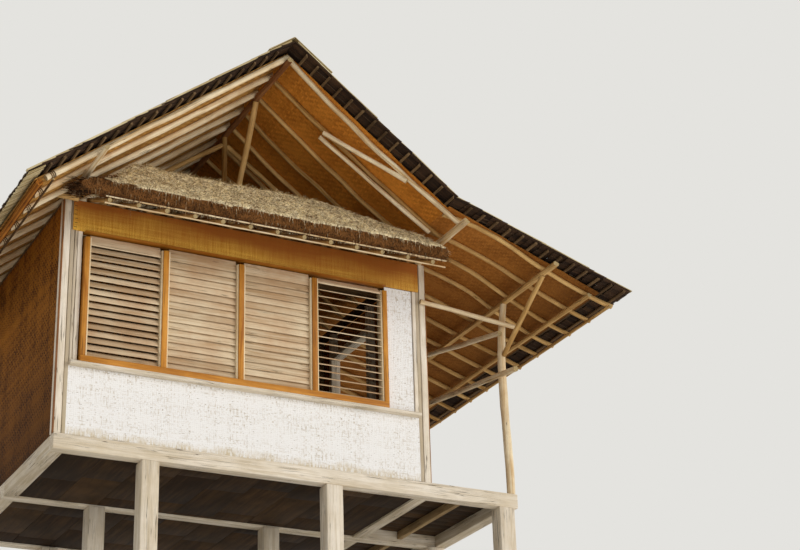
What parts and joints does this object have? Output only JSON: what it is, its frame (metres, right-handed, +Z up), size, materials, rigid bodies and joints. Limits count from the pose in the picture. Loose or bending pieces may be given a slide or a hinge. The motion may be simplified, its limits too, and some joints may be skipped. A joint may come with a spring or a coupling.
{
  "type": "stilt house",
  "caption": "Small timber and bamboo house raised on short stilts, with a louvred front window, woven walls, a pole roof with wooden shingles, a grass awning and a lean-to veranda.",
  "frame": {"origin": "centre of the house's own footprint, roof edges included, on the ground", "axes": "+Z up, the louvred front faces -Y, the veranda lies towards +X"},
  "size_m": [5.97, 5, 4.8305],
  "materials": {
    "bleached_timber": "weathered, grey and bleached",
    "pole_wood": "debarked poles, dry",
    "hidden_timber": "sawn, dry",
    "floor_wood": "sawn boards",
    "varnished_frame": "clear varnish",
    "slat_wood": "worn varnish",
    "white_weave": "whitewashed woven bamboo",
    "orange_weave": "varnished woven bamboo",
    "brown_weave": "twill-woven bamboo",
    "roof_mat": "woven mat",
    "batten_wood": "split sticks",
    "shingle_wood": "weathered shingles",
    "thatch": "dry grass"
  },
  "bodies": {
    "root": {"stilts": "bleached_timber", "main_beams": "bleached_timber", "side_sills": "bleached_timber", "floor_joists": "hidden_timber", "floor_boards": "floor_wood", "floor_lining": "floor_wood", "veranda_deck": "floor_wood", "corner_posts": "bleached_timber", "wall_studs": "hidden_timber", "top_rails": "hidden_timber", "tie_beams": "hidden_timber", "front_panels": "white_weave", "front_upper_band": "orange_weave", "front_trims": "bleached_timber", "window_ledge": "bleached_timber", "window_rails": "varnished_frame", "window_stiles": "varnished_frame", "louvre_panel_1": "slat_wood", "louvre_panel_2": "slat_wood", "louvre_panel_3": "slat_wood", "louvre_panel_4": "slat_wood", "left_wall": "brown_weave", "back_wall": "brown_weave", "right_wall": "brown_weave", "door_frame": "bleached_timber", "wall_plates": "pole_wood", "king_posts": "pole_wood", "ridge_struts": "pole_wood", "ridge_pole": "pole_wood", "left_rafters": "pole_wood", "right_rafters": "pole_wood", "lashed_poles": "pole_wood", "left_mat": "roof_mat", "right_mat": "roof_mat", "roof_battens": "batten_wood", "left_shingles": "shingle_wood", "right_shingles": "shingle_wood", "ridge_boards": "shingle_wood", "veranda_posts": "pole_wood", "veranda_rails": "pole_wood", "veranda_braces": "pole_wood", "veranda_purlins": "pole_wood", "veranda_rafters": "pole_wood", "veranda_mat": "roof_mat", "veranda_shingles": "shingle_wood", "awning_poles": "pole_wood", "awning_sticks": "pole_wood", "awning_thatch": "thatch"}
  },
  "joints": []
}
